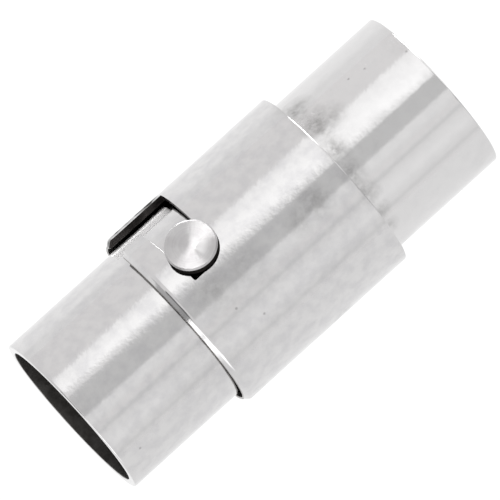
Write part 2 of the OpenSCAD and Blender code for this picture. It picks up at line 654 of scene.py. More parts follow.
    def _pits(self, coat: Coat) -> NodeSocket:
        """Share of small round pits, about a tenth of a millimetre across, in one cell out of five.

        Args:
            coat: The material being made.

        Returns:
            0.4 in a pit and 0 outside.
        """
        cells = coat.add("ShaderNodeTexVoronoi", {"Vector": coat.place, "Scale": per(0.75)}).node.outputs
        near = coat.add("ShaderNodeMapRange", (cells["Distance"], 0.04, 0.1, 0.4, 0.0))
        chance = coat.add("ShaderNodeSeparateColor", (cells["Color"],))
        chosen = coat.add("ShaderNodeMath", (chance, 0.8), operation="GREATER_THAN")
        return coat.add("ShaderNodeMath", (near, chosen), operation="MULTIPLY")


@dataclass(frozen=True)
class RoughSteel:
    """Stainless steel as a tool left it, unpolished: milled slot walls and bored holes.

    Attributes:
        name: The material's name.
        light, dark: Colours of its lighter and darker blotches.
        roughness: Least and greatest roughness.
        mark: Width of the tool's marks. Real ones are too fine to show, so these are as coarse as
            they need to be.
        mark_depth: Depth of the tool's marks.
        metallic: 1 for bare steel, and 0 for a near black surface that paints in shade.
        shine: Level of shine where metallic is 0.
    """

    name: str
    light: str
    dark: str
    roughness: tuple[float, float]
    mark: float
    mark_depth: float
    metallic: float = 1.0
    shine: float = 0.5

    def build(self) -> Material:
        """Makes the material.

        The tool's marks take the shine away, and its colours are far darker than bare steel, which
        paints shade into the slot's walls and the bores, so that they look dark and mottled.

        Returns:
            The material.
        """
        coat = Coat(self.name)
        blotches, marks = [
            coat.add("ShaderNodeTexNoise", {"Vector": coat.place, "Scale": per(size), "Detail": detail})
            for size, detail in ((0.5, 4.0), (self.mark, 2.0))
        ]
        least, most = self.roughness
        share = coat.add("ShaderNodeMapRange", (blotches, 0.35, 0.68, 0.0, 1.0))
        mixed = {0: share, 6: linear(self.dark), 7: linear(self.light)}
        relief = {"Strength": 1.0, "Distance": self.mark_depth * MM, "Height": marks}
        return coat.finish(coat.add("ShaderNodeBsdfPrincipled", {
            "Base Color": coat.add("ShaderNodeMix", mixed, 2, data_type="RGBA"),
            "Metallic": self.metallic,
            "Roughness": coat.add("ShaderNodeMapRange", (blotches, 0.3, 0.7, most, least)),
            "Specular IOR Level": self.shine,
            "Normal": coat.add("ShaderNodeBump", relief),
        }))


@dataclass(frozen=True)
class FaceTurnedSteel:
    """Stainless steel with the fine rings that a lathe leaves when it faces a bar's end.

    Attributes:
        name: The material's name.
        light, dark: Colours of the steel under a thin and a thick film.
        clean: Colour of the painted highlight on one side of the middle.
        painted_highlight_turn: Turn of that side from ahead.
        roughness: Roughness.
        anisotropy: How much more the rings spread light across them than along them.
        ring: Width of a ring. Real ones are about 0.02 mm wide, too fine to show, so these are as
            coarse as they need to be.
        ring_depth: Depth of a ring.
        bend: How far the rings lean from round, which bends the bow.
        bow_turn: Turn of the bow from ahead.
        pip: Radius of the worn middle.
    """

    name: str
    light: str = "CBCACA"
    dark: str = "B9B7B8"
    # Colour of the painted highlight on one side
    clean: str = "F2F1F1"
    painted_highlight_turn: float = 126.0
    roughness: float = 0.35
    anisotropy: float = 1.0
    ring: float = 0.09
    ring_depth: float = 0.0004
    bend: float = -0.42
    bow_turn: float = 28.0
    pip: float = 0.32

    def build(self, middle: Vector, axis: Vector, ahead: Vector) -> Material:
        """Makes the material.

        The rings spread each light across them, so the face shows a bright bow through its middle.
        The bar ran out a little, so the rings aren't quite round and the bow is bent. The pip in
        the middle was worn off, so the bow is wide there. One side of the middle has a painted
        highlight, a lighter colour.

        Args:
            middle: A point on the axis that the face was turned about, in metres.
            axis: The direction of that axis.
            ahead: A direction across the axis, from which the turns on the face count.

        Returns:
            The material.
        """
        coat = Coat(self.name)
        along, painted_highlight_side = [
            Matrix.Rotation(math.radians(turn), 3, axis) @ ahead
            for turn in (self.bow_turn, self.painted_highlight_turn)
        ]
        offset = coat.add("ShaderNodeVectorMath", (coat.place, middle), operation="SUBTRACT")
        on_axis = coat.add("ShaderNodeVectorMath", (offset, axis), operation="PROJECT")
        spoke = coat.add("ShaderNodeVectorMath", (offset, on_axis), operation="SUBTRACT")
        radius = coat.add("ShaderNodeVectorMath", (spoke,), "Value", operation="LENGTH")
        straight = coat.add("ShaderNodeVectorMath", (spoke,), operation="NORMALIZE")
        side, facing = [
            coat.add("ShaderNodeVectorMath", (straight, way), "Value", operation="DOT_PRODUCT")
            for way in (along, painted_highlight_side)
        ]
        sign = coat.add("ShaderNodeMath", (side,), operation="SIGN")
        same_way, bent = [
            coat.add("ShaderNodeVectorMath", {0: way, "Scale": sign}, operation="SCALE")
            for way in (straight, axis.cross(along) * self.bend)
        ]
        open_out = coat.add("ShaderNodeMapRange", (radius, 0.0, self.pip * MM, 0.0, 1.0))
        mixed = {0: open_out, 4: along, 5: same_way}
        middle_way = coat.add("ShaderNodeMix", mixed, 1, data_type="VECTOR")
        across = coat.add("ShaderNodeVectorMath", (middle_way, bent), operation="ADD")
        rings = coat.add(
            "ShaderNodeTexNoise", {"W": radius, "Scale": per(self.ring), "Detail": 2.0},
            noise_dimensions="1D",
        )
        mottle = coat.add(
            "ShaderNodeTexNoise", {"Vector": coat.place, "Scale": per(0.5), "Detail": 3.0}
        )
        blend = coat.add("ShaderNodeMath", (rings, 0.5, mottle), operation="MULTIPLY_ADD")
        film = coat.add("ShaderNodeMapRange", (blend, 0.5, 1.0, 0.0, 1.0))
        # Painted highlight: a lighter colour on one side, from the worn middle out to 0.85 mm
        rubbed_and_painted_highlight = open_out
        for steps in ((facing, 0.76, 0.97, 0.0, 1.0), (radius, 0.4 * MM, 0.85 * MM, 1.0, 0.0)):
            part = coat.add("ShaderNodeMapRange", steps, interpolation_type="SMOOTHSTEP")
            rubbed_and_painted_highlight = coat.add("ShaderNodeMath", (rubbed_and_painted_highlight, part), operation="MULTIPLY")
        colour = linear(self.light)
        for share, over in ((film, self.dark), (rubbed_and_painted_highlight, self.clean)):
            mixed = {0: share, 6: colour, 7: linear(over)}
            colour = coat.add("ShaderNodeMix", mixed, 2, data_type="RGBA")
        relief = {"Strength": 1.0, "Distance": self.ring_depth * MM, "Height": rings}
        return coat.finish(coat.add("ShaderNodeBsdfPrincipled", {
            "Base Color": colour, "Metallic": 1.0, "Roughness": self.roughness,
            "Anisotropic": self.anisotropy, "Tangent": across,
            "Normal": coat.add("ShaderNodeBump", relief),
        }))


def about_clasp_axis(sizes: ClaspSizes) -> Matrix:
    """Placement that puts a part turned about Z on the clasp's axis, in metres."""
    turn = Matrix(((0, 0, 1), (0, -1, 0), (1, 0, 0))).to_4x4()
    return Matrix.Translation(Vector((sizes.rim_x, 0, sizes.sleeve_r)) * MM) @ turn


def way_out(turn: float) -> Vector:
    """Direction straight out of the clasp's axis at a turn in radians."""
    return Vector((0, math.sin(turn), math.cos(turn)))


def way_round(turn: float) -> Vector:
    """Direction in which the turn grows, at a turn in radians."""
    return Vector((0, math.cos(turn), -math.sin(turn)))


def mix(a: float, b: float, share: float) -> float:
    """A value between two others."""
    return a + (b - a) * share


def shares(count: int) -> list[float]:
    """Evenly spaced shares between 0 and 1, without both ends."""
    return [(i + 0.5) / count for i in range(count)]


@dataclass(frozen=True)
class Level:
    """One depth of the wall round the slot and the rim.

    Attributes:
        radius: Distance from the clasp's axis.
        rim: How far the rim is cut back there.
        rim_faces: The direction that the rim faces there, along the clasp and outwards.
        grow: How much wider the slot is there on each side, because its edges are rounded.
        lift: Share of the outward direction in the way that the slot's wall faces there.
    """

    radius: float
    rim: float
    rim_faces: tuple[float, float]
    grow: float
    lift: float


@dataclass(frozen=True)
class EdgePoint:
    """A point on the edge of the slotted wall."""

    along: float
    turn: float
    normal: Vector
    in_slot: bool


@dataclass(frozen=True)
class SlottedWall:
    """The sleeve's front wall, from its rim back to a plain ring, with the L-shaped slot.

    Attributes:
        sizes: The clasp's sizes.
        join: Place of the plain ring.
        steps: Number of points round the ring.
        seam: Number of the ring's point at which the wall is cut open to be laid flat.
        rows: Number of rows of triangles between the rim and the plain ring.
        clear: Distance from the edge within which no row has a point.
        corner: Rounding of the slot's mouth at the rim, on the tongue's side.
        worn_corner: Rounding of the mouth on its other side.
        mouth: Rounding of the bore's mouth.
        foot_round: Rounding of the rim chamfer's foot.
        rim_round: Rounding between the rim chamfer and the sleeve.
        foot: Height of the rim chamfer's foot, which stays unpolished.
        tool_round: Rounding of the slot's square inner corners.
        broken_in: How far in the bore's mouth was deburred.
    """

    sizes: ClaspSizes
    join: float = 3.6
    steps: int = 192
    seam: int = -64
    rows: int = 14
    clear: float = 0.1
    corner: float = 0.06
    worn_corner: float = 0.09
    mouth: float = 0.05
    foot_round: float = 0.02
    rim_round: float = 0.22
    foot: float = 0.022
    tool_round: float = 0.04
    broken_in: float = 0.3

    def levels(self) -> list[Level]:
        """Depths of the wall from the bore out to the sleeve's surface.

        Returns:
            The levels in order.
        """
        sizes = self.sizes
        foot_r = sizes.sleeve_r - sizes.rim_chamfer
        rim = rounded_outline([
            Corner(self.join, sizes.bore_r),
            Corner(0, sizes.bore_r, self.mouth),
            Corner(0, foot_r, self.foot_round),
            Corner(sizes.rim_chamfer, sizes.sleeve_r, self.rim_round),
            Corner(self.join, sizes.sleeve_r),
        ])[1:-1]
        slope = math.sqrt(0.5)
        edge_start = sizes.sleeve_r - sizes.edge
        rim.append(OutlinePoint(self.foot, foot_r + self.foot, -slope, slope))
        rim.sort(key=lambda p: p.radius)
        made = []
        for p in rim:
            rise = max(0.0, (p.radius - edge_start) / sizes.edge)
            fall = max(0.0, (sizes.bore_r + sizes.edge - p.radius) / sizes.edge)
            lift = min(1.0, rise) - min(1.0, fall)
            grow = sizes.edge * (1 - math.sqrt(max(0.0, 1 - lift * lift)))
            made.append(Level(p.radius, p.along, (p.faces_along, p.faces_out), grow, lift))
        return made

    def edge(self, level: Level) -> list[EdgePoint]:
        """The wall's free edge at one level, once round: along the rim, then round the slot.

        Args:
            level: The level.

        Returns:
            The points in order, as many at each level, with turns that only ever grow past the
            seam's by less than a full turn.
        """
        sizes = self.sizes
        leg, seat = math.radians(sizes.leg_turn), math.radians(sizes.seat_turn)
        half = sizes.slot_w / 2
        wall = half + level.grow
        side = math.sqrt(1 - level.lift**2)
        points: list[EdgePoint] = []

        def at(frame_turn: float, along: float, across: float, faces: tuple[float, float]) -> None:
            """Adds a point of the slot's wall.

            Args:
                frame_turn: Turn of the radial plane that the point is measured from.
                along: The point's place along the clasp.
                across: Its distance from the plane.
                faces: The direction that the wall faces there, along and across.
            """
            turn = frame_turn + math.asin(across / level.radius)
            flat = Vector((faces[0], 0, 0)) + way_round(frame_turn) * faces[1]
            normal = way_out(turn) * level.lift + flat * side
            points.append(EdgePoint(along, turn, normal.normalized(), True))

        def run(frame_turn: float, ends: tuple[float, float], sign: int, count: int) -> None:
            """Adds points between two places, on the slot wall at one side of a radial plane."""
            for share in shares(count):
                at(frame_turn, mix(*ends, share), wall * sign, (0, -sign))

        def arc(
            frame_turn: float, along: float, across: float, reach: float, ends: tuple[int, int],
            count: int,
        ) -> None:
            """Adds the points of a rounded corner of the slot.

            Args:
                frame_turn: Turn of the radial plane that the rounding's middle is measured from.
                along: Place of that middle along the clasp.
                across: Its distance from the plane.
                reach: The rounding's radius, below 0 where the wall faces its middle.
                ends: Where the rounding starts and stops, in quarter turns.
                count: Number of lines in it.
            """
            for i in range(count + 1):
                angle = mix(*ends, i / count) * math.pi / 2
                faces = (math.sin(angle), math.cos(angle))
                at(frame_turn, along + reach * faces[0], across + reach * faces[1], faces)

        def mouth(sign: int, share: float) -> None:
            """Adds a point of the rounded corner between the rim and the slot's long leg.

            Args:
                sign: -1 for the corner on the tongue's side, and 1 for the other one.
                share: How far the point is from the rim's end of the corner.
            """
            angle = share * math.pi / 2
            corner = self.corner if sign < 0 else self.worn_corner
            across = half + corner - (corner - level.grow) * math.sin(angle)
            turn = leg + sign * math.asin(across / level.radius)
            rim_way = Vector((level.rim_faces[0], 0, 0)) + way_out(turn) * level.rim_faces[1]
            wall_way = way_out(turn) * level.lift - way_round(leg) * sign * side
            normal = rim_way * math.cos(angle) + wall_way * math.sin(angle)
            along = level.rim + corner * (1 - math.cos(angle))
            points.append(EdgePoint(along, turn, normal.normalized(), share > 0))

        def rim(first: int, last: int) -> None:
            """Adds points of the rim.

            Args:
                first: The first point's number round the ring.
                last: The number after the last point's.
            """
            for number in range(first, last):
                turn = number * math.tau / self.steps
                normal = Vector((level.rim_faces[0], 0, 0)) + way_out(turn) * level.rim_faces[1]
                points.append(EdgePoint(level.rim, turn, normal.normalized(), False))

        clear = [math.asin((half + c) / sizes.bore_r) for c in (self.corner, self.worn_corner)]
        step = math.tau / self.steps
        tongue_mid = sizes.tongue_w - sizes.tongue_slant - sizes.tongue_round
        tongue_across = half + sizes.tongue_round
        tongue_turn = leg - math.asin(tongue_across / level.radius)
        blind_mid = half - self.tool_round
        blind_turn = seat - math.asin(blind_mid / level.radius)
        blind_along = sizes.tongue_w + self.tool_round
        far_mid = sizes.slot_end - sizes.seat_round
        far_across = sizes.seat_round - half
        end_along = sizes.slot_end - self.tool_round
        # The walls at the square inner corners face the middles of their roundings
        hollow = -(self.tool_round + level.grow)

        # Each stretch has as many points at every level, so that the levels join up
        rim(self.seam, math.floor((leg - clear[0]) / step))
        for i in range(5):
            mouth(-1, i / 4)
        run(leg, (level.rim + self.corner, tongue_mid), -1, 8)
        arc(leg, tongue_mid, -tongue_across, sizes.tongue_round - level.grow, (0, 1), 8)
        for share in shares(28):
            along = sizes.tongue_w - level.grow - sizes.tongue_slant * (1 - share)
            at(mix(tongue_turn, blind_turn, share), along, 0, (1, 0))
        arc(seat, blind_along, -blind_mid, hollow, (1, 0), 4)
        run(seat, (blind_along, far_mid), -1, 6)
        arc(seat, far_mid, far_across, -(sizes.seat_round + level.grow), (0, -1), 10)
        start = seat + math.asin(far_across / level.radius)
        stop = leg + math.asin(blind_mid / level.radius)
        for share in shares(32):
            at(mix(start, stop, share), sizes.slot_end + level.grow, 0, (-1, 0))
        arc(leg, end_along, blind_mid, hollow, (-1, -2), 4)
        run(leg, (end_along, level.rim + self.worn_corner), 1, 22)
        for i in range(7):
            mouth(1, 1 - i / 6)
        rim(math.ceil((leg + clear[1]) / step) + 1, self.seam + self.steps)
        return points

    def spot(self, along: float, turn: float, radius: float) -> Vector:
        """Point in metres at a place, a turn in radians and a radius."""
        on_axis = Vector((self.sizes.rim_x + along, 0, self.sizes.sleeve_r))
        return (on_axis + way_out(turn) * radius) * MM

    def skin(self, level: Level, outward: int) -> Shell:
        """The wall's outer or inner surface, as small triangles round the slot.

        Args:
            level: The level of the surface's edge.
            outward: 1 for the outer surface, and -1 for the inner one.

        Returns:
            The surface.
        """
        edge = self.edge(level)
        step = math.tau / self.steps
        turns = [(self.seam + i) * step for i in range(self.steps + 1)]
        cut = np.linspace(level.rim, self.join, self.rows)[1:]
        flat = [(p.along, p.turn) for p in edge]
        flat.append((level.rim, turns[-1]))
        flat += [(along, turns[-1]) for along in cut]
        flat += [(self.join, turn) for turn in reversed(turns[1:-1])]
        flat += [(along, turns[0]) for along in reversed(cut)]
        outline = len(flat)
        scale = self.sizes.sleeve_r
        near = np.array([(p.along, p.turn * scale) for p in edge])
        for along in np.linspace(level.rim, self.join, self.rows + 1)[1:-1]:
            for turn in turns[1:-1]:
                gaps = np.hypot(near[:, 0] - along, near[:, 1] - turn * scale)
                if gaps.min() > self.clear:
                    flat.append((float(along), turn))
        points, _, faces, sources, _, _ = delaunay_2d_cdt(
            [Vector((along, turn * scale)) for along, turn in flat], [], [list(range(outline))], 1, CLOSE
        )
        shell = Shell(faces=[list(face) for face in faces])
        for point, source in zip(points, sources):
            along, turn = flat[source[0]] if source else (point.x, point.y / scale)
            shell.points.append(self.spot(along, turn, level.radius))
            shell.normals.append(way_out(turn) * outward)
        for face in faces:
            start = min(points[i].x for i in face)
            inside = Zone.DEBURRED if start < self.broken_in else Zone.BORED
            shell.zones.append(Zone.POLISHED if outward > 0 else inside)
        return shell

    def rings(self) -> Shell:
        """The surfaces between the levels: the rim, and the slot's walls with their edges.

        Returns:
            The surfaces in one shell.
        """
        sizes = self.sizes
        levels = self.levels()
        edges = [self.edge(level) for level in levels]
        count = len(edges[0])
        shell = Shell()
        for level, edge in zip(levels, edges):
            shell.points += [self.spot(p.along, p.turn, level.radius) for p in edge]
            shell.normals += [p.normal for p in edge]
        cut_below = sizes.sleeve_r - sizes.edge - LEVEL_STEP
        deburred_below = sizes.sleeve_r - sizes.rim_chamfer + self.foot - LEVEL_STEP
        for row, (level, edge) in enumerate(zip(levels[:-1], edges)):
            for i in range(count):
                j = (i + 1) % count
                low, high = row * count, (row + 1) * count
                shell.faces.append([low + i, low + j, high + j, high + i])
                if edge[i].in_slot and edge[j].in_slot and level.radius < cut_below:
                    shell.zones.append(Zone.CUT)
                else:
                    foot = level.radius < deburred_below
                    shell.zones.append(Zone.DEBURRED if foot else Zone.POLISHED)
        return shell

    def build(self) -> Shell:
        """The whole front wall.

        Returns:
            The wall, open at the plain ring.
        """
        levels = self.levels()
        shell = self.rings()
        shell.add(self.skin(levels[-1], 1))
        shell.add(self.skin(levels[0], -1))
        return shell


def bored_within(sizes: ClaspSizes) -> Callable[[Vector], Zone]:
    """Rule that makes the walls of the cord hole and of what is narrower bored.

    Args:
        sizes: The clasp's sizes.

    Returns:
        The rule, which takes the middle of a face.
    """
    hole = sizes.cord_hole_r + sizes.edge

    def zone(middle: Vector) -> Zone:
        """Zone of a face by its distance from the clasp's axis."""
        radius = math.hypot(middle.y / MM, middle.z / MM - sizes.sleeve_r)
        return Zone.BORED if radius < hole else Zone.POLISHED

    return zone


@dataclass
class Sleeve:
    """The sleeve: slotted front wall, stepped bore, shoulder and cord cup, turned in one.

    Attributes:
        sizes: The clasp's sizes.
        lathe: The tree that turns its outlines.
        finish: The material of each zone.
        shoulder_round: Rounding of the shoulder's edge.
        root_round: Rounding between the shoulder and the cup.
        floor_edge: Rounding of the step in the bore.
    """

    sizes: ClaspSizes
    lathe: TurningTree
    finish: dict[Zone, Material]
    shoulder_round: float = 0.06
    root_round: float = 0.04
    floor_edge: float = 0.05

    def outside(self, join: float) -> list[OutlinePoint]:
        """Outline from the slotted wall back round the cord cup and into its hole.

        Args:
            join: Place where the slotted wall ends.

        Returns:
            The outline's points in order.
        """
        sizes = self.sizes
        cup_r = sizes.plug_r
        hole_floor = sizes.sleeve_end - sizes.cord_hole_depth
        return rounded_outline([
            Corner(join, sizes.sleeve_r),
            Corner(sizes.shoulder, sizes.sleeve_r, self.shoulder_round),
            Corner(sizes.shoulder, cup_r, self.root_round),
            Corner(sizes.sleeve_end, cup_r, sizes.cup_round),
            Corner(sizes.sleeve_end, sizes.cord_hole_r, sizes.hole_round),
            Corner(hole_floor, sizes.cord_hole_r, sizes.floor_round),
            Corner(hole_floor, 0),
        ])

    def inside(self, join: float) -> list[OutlinePoint]:
        """Outline from the floor of the magnet's pocket out to the slotted wall.

        Args:
            join: Place where the slotted wall ends.

        Returns:
            The outline's points in order.
        """
        sizes = self.sizes
        return rounded_outline([
            Corner(sizes.sleeve_pocket_floor, 0),
            Corner(sizes.sleeve_pocket_floor, sizes.pocket_r, sizes.pocket_round),
            Corner(sizes.bore_floor, sizes.pocket_r, sizes.pocket_round),
            Corner(sizes.bore_floor, sizes.bore_r, self.floor_edge),
            Corner(join, sizes.bore_r),
        ])

    def build(self) -> Object:
        """Makes the sleeve.

        Returns:
            The piece, which stands for its solid.
        """
        wall = SlottedWall(self.sizes)
        shell = wall.build()
        rules = ((self.outside, bored_within(self.sizes)), (self.inside, lambda middle: Zone.BORED))
        for outline, rule in rules:
            turned = self.lathe.turn(outline(wall.join), wall.steps, self.finish[Zone.POLISHED])
            shell.add(turned.place(about_clasp_axis(self.sizes)).zone_by(rule))
        piece = shell.to_object("sleeve", self.finish)
        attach(piece, "sleeve_half")
        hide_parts("sleeve_barrel")
        return piece


@dataclass
class Plug:
    """The plug tube: cord cup, solid web and magnet pocket, turned in one.

    Attributes:
        sizes: The clasp's sizes.
        lathe: The tree that turns its outline.
        finish: The material of each zone.
        steps: Number of faces round it.
        lead_round: Rounding at both ends of the chamfer that leads it into the sleeve.
    """

    sizes: ClaspSizes
    lathe: TurningTree
    finish: dict[Zone, Material]
    steps: int = 192
    lead_round: float = 0.04

    def outline(self) -> list[OutlinePoint]:
        """Outline from the floor of the cord hole round to the floor of the magnet's pocket.

        Returns:
            The outline's points in order.
        """
        sizes = self.sizes
        hole_floor = sizes.cord_hole_depth - sizes.plug_out
        return rounded_outline([
            Corner(hole_floor, 0),
            Corner(hole_floor, sizes.cord_hole_r, sizes.floor_round),
            Corner(-sizes.plug_out, sizes.cord_hole_r, sizes.hole_round),
            Corner(-sizes.plug_out, sizes.plug_r, sizes.cup_round),
            Corner(sizes.plug_end - sizes.lead_chamfer, sizes.plug_r, self.lead_round),
            Corner(sizes.plug_end, sizes.plug_r - sizes.lead_chamfer, self.lead_round),
            Corner(sizes.plug_end, sizes.pocket_r, sizes.pocket_round),
            Corner(sizes.plug_pocket_floor, sizes.pocket_r, sizes.pocket_round),
            Corner(sizes.plug_pocket_floor, 0),
        ])

    def build(self) -> Object:
        """Makes the plug.

        Returns:
            The piece, which stands for its solid.
        """
        shell = self.lathe.turn(self.outline(), self.steps, self.finish[Zone.POLISHED])
        shell.place(about_clasp_axis(self.sizes)).zone_by(bored_within(self.sizes))
        piece = shell.to_object("plug", self.finish)
        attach(piece, "plug_half")
        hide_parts("plug_barrel")
        return piece


@dataclass
class LockingPin:
    """The pin: shank pressed into the plug, and a flat head over the slot's edges.

    Attributes:
        sizes: The clasp's sizes.
        lathe: The tree that turns its outline.
        steps: Number of faces round it.
        head_gap: Gap between the head and the sleeve.
        head_t: Thickness of the head.
        head_r: Radius of the head.
        head_chamfer: Chamfer round the head's face.
        head_round: Rounding at both ends of that chamfer.
        under_round: Rounding under the head, at its rim and at the shank.
        shank_gap: Gap on each side of the shank in the slot.
        shank_depth: Depth of the shank in the plug.
        shank_round: Rounding of the shank's end.
    """

    sizes: ClaspSizes
    lathe: TurningTree
    steps: int = 128
    head_gap: float = 0.03
    head_t: float = 0.38
    head_r: float = 1.025
    head_chamfer: float = 0.06
    head_round: float = 0.012
    under_round: float = 0.02
    shank_gap: float = 0.07
    shank_depth: float = 1.3
    shank_round: float = 0.05

    @property
    def under(self) -> float:
        """Height of the head's underside over the clasp's axis."""
        return self.sizes.sleeve_r + self.head_gap

    @property
    def top(self) -> float:
        """Height of the head's face over the clasp's axis."""
        return self.under + self.head_t

    def outline(self) -> list[OutlinePoint]:
        """Outline from the shank's end up to the middle of the head's face.

        Returns:
            The outline's points in order.
        """
        shank_r = self.sizes.slot_w / 2 - self.shank_gap
        bottom = self.sizes.plug_r - self.shank_depth
        return rounded_outline([
            Corner(bottom, 0),
            Corner(bottom, shank_r, self.shank_round),
            Corner(self.under, shank_r, self.under_round),
            Corner(self.under, self.head_r, self.under_round),
            Corner(self.top - self.head_chamfer, self.head_r, self.head_round),
            Corner(self.top, self.head_r - self.head_chamfer, self.head_round),
            Corner(self.top, 0),
        ])

    def build(self) -> Object:
        """Makes the pin.

        Returns:
            The piece, which stands for its solid.
        """
        sizes = self.sizes
        out = way_out(math.radians(sizes.pin_turn))
        foot = Vector((sizes.rim_x + sizes.slot_mid, 0, sizes.sleeve_r)) * MM
        face = FaceTurnedSteel("Steel face turned on a lathe").build(foot, out, Vector((-1, 0, 0)))
        # The head's side is coloured near black: painted shade for the gap under the head
        side = RoughSteel(
            "Steel parted off, near black as painted shade", "211F1E", "100F0F", (0.5, 0.65), 0.09, 0.002, 0.0, 0.0
        ).build()
        across = Vector((1, 0, 0))
        upright = Matrix((across, out.cross(across), out)).transposed().to_4x4()
        shell = self.lathe.turn(self.outline(), self.steps, face)
        # A little below the chamfer, which was turned with the face
        face_start = (self.top - self.head_chamfer * 1.1) * MM
        shell.zone_by(lambda middle: Zone.POLISHED if middle.z > face_start else Zone.CUT)
        shell.place(Matrix.Translation(foot) @ upright)
        piece = shell.to_object("pin", {Zone.POLISHED: face, Zone.CUT: side})
        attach(piece, "plug_half")
        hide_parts("locking_pin")
        return piece


@dataclass(frozen=True)
class NickelPlate:
    """Nickel plate on a sintered magnet: warm grey, with the fine orange peel of a barrel bath."""

    name: str = "Nickel plate from a barrel bath"
    high: str = "CFC9BE"
    low: str = "B9B2A6"

    def build(self) -> Material:
        """Makes the material.

        The plate follows the grains under it, so its shine is soft and a little uneven.

        Returns:
            The material.
        """
        coat = Coat(self.name)
        peel = coat.add(
            "ShaderNodeTexNoise", {"Vector": coat.place, "Scale": per(0.25), "Detail": 3.0}
        )
        mixed = {0: peel, 6: linear(self.high), 7: linear(self.low)}
        relief = {"Strength": 1.0, "Distance": 0.001 * MM, "Height": peel}
        return coat.finish(coat.add("ShaderNodeBsdfPrincipled", {
            "Base Color": coat.add("ShaderNodeMix", mixed, 2, data_type="RGBA"), "Metallic": 1.0,
            "Roughness": coat.add("ShaderNodeMapRange", (peel, 0.3, 0.7, 0.18, 0.3)),
            "Normal": coat.add("ShaderNodeBump", relief),
        }))


@dataclass(frozen=True)
class Magnets:
    """The two disc magnets, whose solids have the right shape and get their plating here."""

    nodes: tuple[str, ...] = ("sleeve_magnet", "plug_magnet")

    def dress(self) -> None:
        """Gives both magnets their nickel plate."""
        plate = NickelPlate().build()
        for node in self.nodes:
            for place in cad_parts[node].material_slots:
                place.material = plate
            log.info("%s: dressed", node)


@dataclass(frozen=True)
class Sheet:
    """A lit or grey sheet that stands round the clasp and shows in its metal.

    Attributes:
        name: The sheet's name.
        glow: Brightness.
        edge_glow: Brightness at the start of its soft side.
        soft: Share of its width over which its soft side fades in.
        left: Share of its brightness that is left at its other side.
        distance: How far away it stands, in metres.
    """

    name: str
    glow: float
    edge_glow: float = 1.0
    soft: float = 0.0
    left: float = 1.0
    distance: float = 0.9

    def rows(self) -> list[tuple[Vector, Vector]]:
        """The ends of the sheet's rows, each on its soft side and on its other side."""
        return []

    def build(self) -> None:
        """Makes the sheet, which isn't part of the clasp."""
        mesh = bpy.data.meshes.new(self.name)
        rows = self.rows()
        faces = [(2 * i, 2 * i + 1, 2 * i + 3, 2 * i + 2) for i in range(len(rows) - 1)]
        mesh.from_pydata([end for row in rows for end in row], [], faces)
        place = mesh.uv_layers.new(name="sheet")
        for loop, spot in zip(mesh.loops, place.data):
            spot.uv = (loop.vertex_index % 2, loop.vertex_index // 2)
        mesh.materials.append(self.light())
        sheet = bpy.data.objects.new(self.name, mesh)
        bpy.context.scene.collection.objects.link(sheet)

    def light(self) -> Material:
        """The sheet's glow, which fades in across its soft side.

        Returns:
            The material.
        """
        coat = Coat(self.name, "UV")
        across = coat.add("ShaderNodeSeparateXYZ", (coat.place,))
        near = coat.add(
            "ShaderNodeMapRange", (across, 0.0, max(self.soft, 1e-3), self.edge_glow, self.glow),
            interpolation_type="SMOOTHSTEP",
        )
        far = coat.add("ShaderNodeMapRange", (across, self.soft, 1.0, 1.0, self.left))
        strength = coat.add("ShaderNodeMath", (near, far), operation="MULTIPLY")
        return coat.finish(coat.add("ShaderNodeEmission", {"Strength": strength}))


@dataclass(frozen=True)
class Card(Sheet):
    """A card over the clasp, which faces it.

    Attributes:
        bearing: Turn of its middle from straight up, towards +Y, in degrees.
        lean: How far its middle leans towards +X, in degrees.
        across: Width across the bearing, in degrees as the clasp sees it.
        length: Length towards +X, in degrees as the clasp sees it.
        roll: Turn of the card in its own plane, in degrees.
        taper: Share of its width that is missing at its end towards -X.
        slant: How far its end towards +X is moved across, as a share of half its width.
        parts: Number of faces along it.
    """

    bearing: float = 0.0
    lean: float = 6.3
    across: float = 10.0
    length: float = 90.0
    roll: float = 0.0
    taper: float = 0.0
    slant: float = 0.0
    parts: int = 12

    def rows(self) -> list[tuple[Vector, Vector]]:
        """The ends of the card's rows.

        Returns:
            The rows, from its end towards -X.
        """
        bearing, lean = math.radians(self.bearing), math.radians(self.lean)
        level = math.cos(lean)
        out = Vector((math.sin(lean), level * math.sin(bearing), level * math.cos(bearing)))
        turn = Matrix.Rotation(math.radians(self.roll), 3, out)
        aside, ahead = turn @ way_round(bearing), turn @ way_round(bearing).cross(out)
        aside *= self.distance * math.tan(math.radians(self.across / 2))
        ahead *= self.distance * math.tan(math.radians(self.length / 2))
        made = []
        for share in (i / self.parts for i in range(self.parts + 1)):
            middle = out * self.distance + (ahead + aside * self.slant) * (2 * share - 1)
            half = aside * (1 - self.taper * (1 - share))
            made.append((middle - half, middle + half))
        return made


@dataclass(frozen=True)
class Wing(Sheet):
    """A wing that stands upright on the table, on the -X side.

    Attributes:
        start: Turn of its soft side from -X, towards +Y, in degrees.
        stop: Turn of its other side.
        height: Height, in degrees as the clasp sees it.
    """

    start: float = 0.0
    stop: float = 10.0
    height: float = 12.0

    def rows(self) -> list[tuple[Vector, Vector]]:
        """The ends of the wing's rows.

        Returns:
            Its foot and its top.
        """
        ends = [math.radians(end) for end in (self.start, self.stop)]
        foot = [Vector((-math.cos(e), math.sin(e), 0)) * self.distance for e in ends]
        lift = Vector((0, 0, self.distance * math.tan(math.radians(self.height))))
        return [(foot[0], foot[1]), (foot[0] + lift, foot[1] + lift)]


@dataclass(frozen=True)
class Pool:
    """A brighter or darker round area of the light table.

    Attributes:
        x: Place of its middle along X, in millimetres.
        y: Place of its middle along Y.
        inner: Radius up to which it has its full brightness.
        outer: Radius at which it ends.
        glow: Its brightness next to the rest of the table's.
    """

    x: float
    y: float
    inner: float
    outer: float
    glow: float


